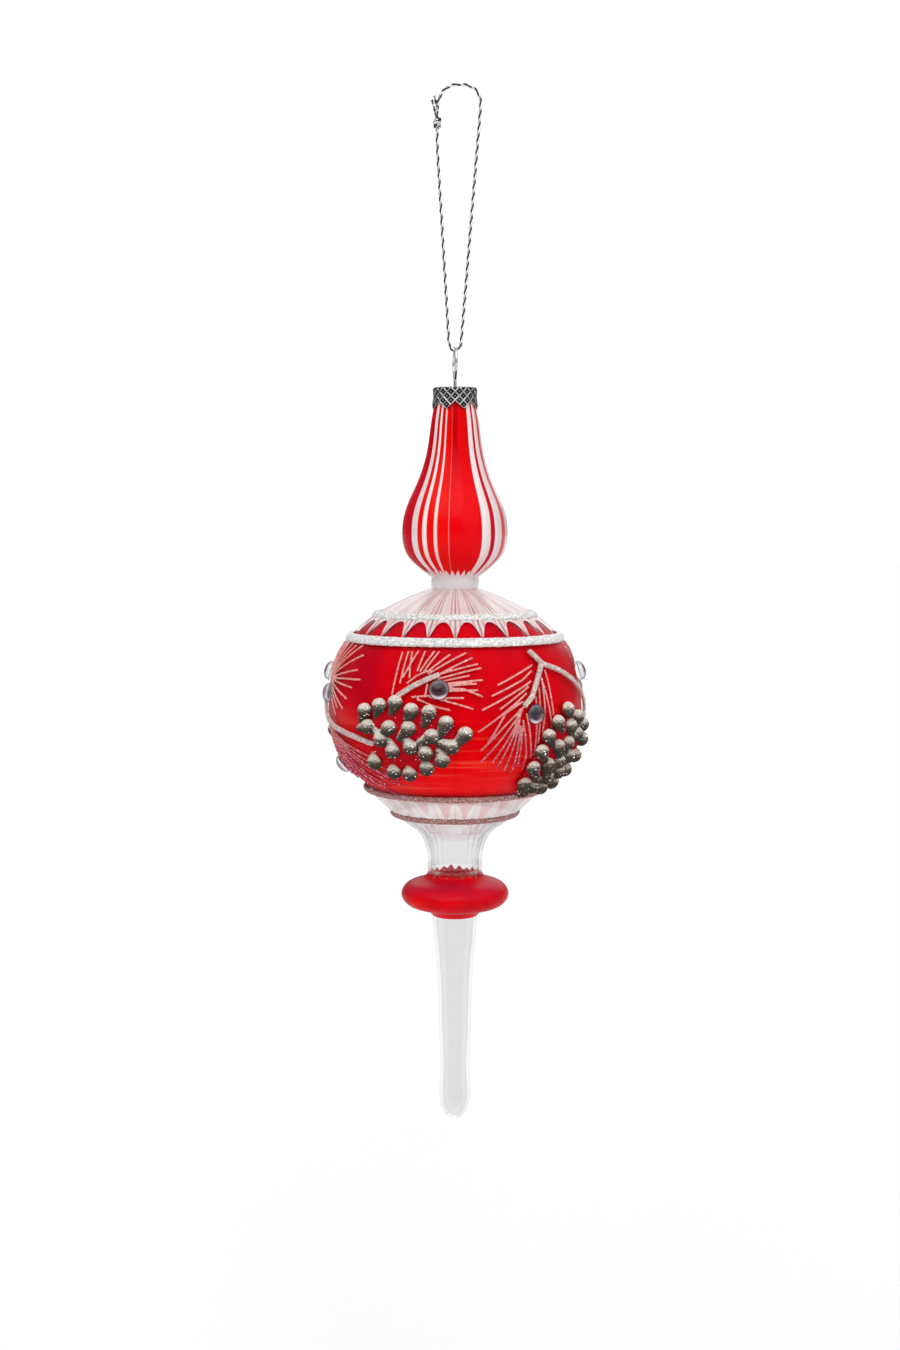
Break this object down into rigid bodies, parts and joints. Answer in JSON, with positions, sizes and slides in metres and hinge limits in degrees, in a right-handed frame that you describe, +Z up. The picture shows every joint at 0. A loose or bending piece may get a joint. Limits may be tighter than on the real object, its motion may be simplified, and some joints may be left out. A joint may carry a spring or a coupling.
{
  "type": "hanging glass ornament",
  "caption": "Blown glass finial ornament with a teardrop, a decorated ball, a disc and a long icicle drop, hung from a cord loop by a sprung wire and crimped cap.",
  "frame": {"origin": "the hanging point, inside the top of the cord loop", "axes": "+Z up along the hanging axis, -Y the front with the near pine cone, +X to the right seen from the front"},
  "size_m": [0.0838, 0.0884, 0.3299],
  "materials": {
    "metallic_cord": "twisted silver and dark metallic thread",
    "hanger_wire": "bright plated spring wire",
    "crown_cap": "darkened silver, pressed lattice",
    "striped_red_glass": "clear glass with transparent red lacquered lobes",
    "milky_glass": "milky clear glass",
    "red_band_glass": "ribbed clear glass with a satin red lacquer band",
    "clear_glass": "clear fluted glass",
    "red_disc_glass": "satin red lacquered glass",
    "white_glitter": "white granular glitter paste",
    "mauve_glitter": "mauve-brown granular glitter paste",
    "taupe_glitter": "taupe glitter paste drops on a thin film",
    "twig_glitter": "pale taupe glitter paste",
    "needle_glitter": "pinkish white glitter paste lines",
    "foiled_glass": "clear glass dome with a silver foil back"
  },
  "bodies": {
    "cord": {"hanging_cord": "metallic_cord", "cord_knot": "metallic_cord"},
    "hanger": {"hanger_wire": "hanger_wire"},
    "cap": {"crown_cap": "crown_cap"},
    "glass": {"teardrop_glass": "striped_red_glass", "collar_glass": "milky_glass", "ball_glass": "red_band_glass", "lower_neck_glass": "clear_glass", "disc_glass": "red_disc_glass", "icicle_glass": "clear_glass", "white_glitter_ring_upper": "white_glitter", "white_glitter_ring_lower": "white_glitter", "mauve_glitter_ring_upper": "mauve_glitter", "mauve_glitter_ring_lower": "mauve_glitter", "pine_cone_1": "taupe_glitter", "pine_cone_2": "taupe_glitter", "pine_cone_3": "taupe_glitter", "pine_cone_4": "taupe_glitter", "twig_1": "twig_glitter", "twig_2": "twig_glitter", "twig_3": "twig_glitter", "twig_4": "twig_glitter", "twig_5": "twig_glitter", "twig_6": "twig_glitter", "needle_sprig_1": "needle_glitter", "needle_sprig_2": "needle_glitter", "needle_sprig_3": "needle_glitter", "needle_sprig_4": "needle_glitter", "needle_sprig_5": "needle_glitter", "needle_sprig_6": "needle_glitter", "needle_sprig_7": "needle_glitter", "needle_sprig_8": "needle_glitter", "cabochon_1": "foiled_glass", "cabochon_2": "foiled_glass", "cabochon_3": "foiled_glass", "cabochon_4": "foiled_glass", "cabochon_5": "foiled_glass", "cabochon_6": "foiled_glass", "cabochon_7": "foiled_glass", "cabochon_8": "foiled_glass", "cabochon_9": "foiled_glass"}
  },
  "joints": [
    {"name": "hanger_swing", "type": "hinge", "parent": "cord", "child": "hanger", "pos_m": [0, 0, -0.0812], "axis": [1, 0, 0], "range_deg": [-75, 75]},
    {"name": "cap_spin", "type": "hinge", "parent": "hanger", "child": "cap", "pos_m": [0, 0, -0.0931], "axis": [0, 0, 1], "continuous": true},
    {"name": "glass_pull_off", "type": "slide", "parent": "cap", "child": "glass", "axis": [0, 0, -1], "range_m": [0, 0.035]}
  ]
}
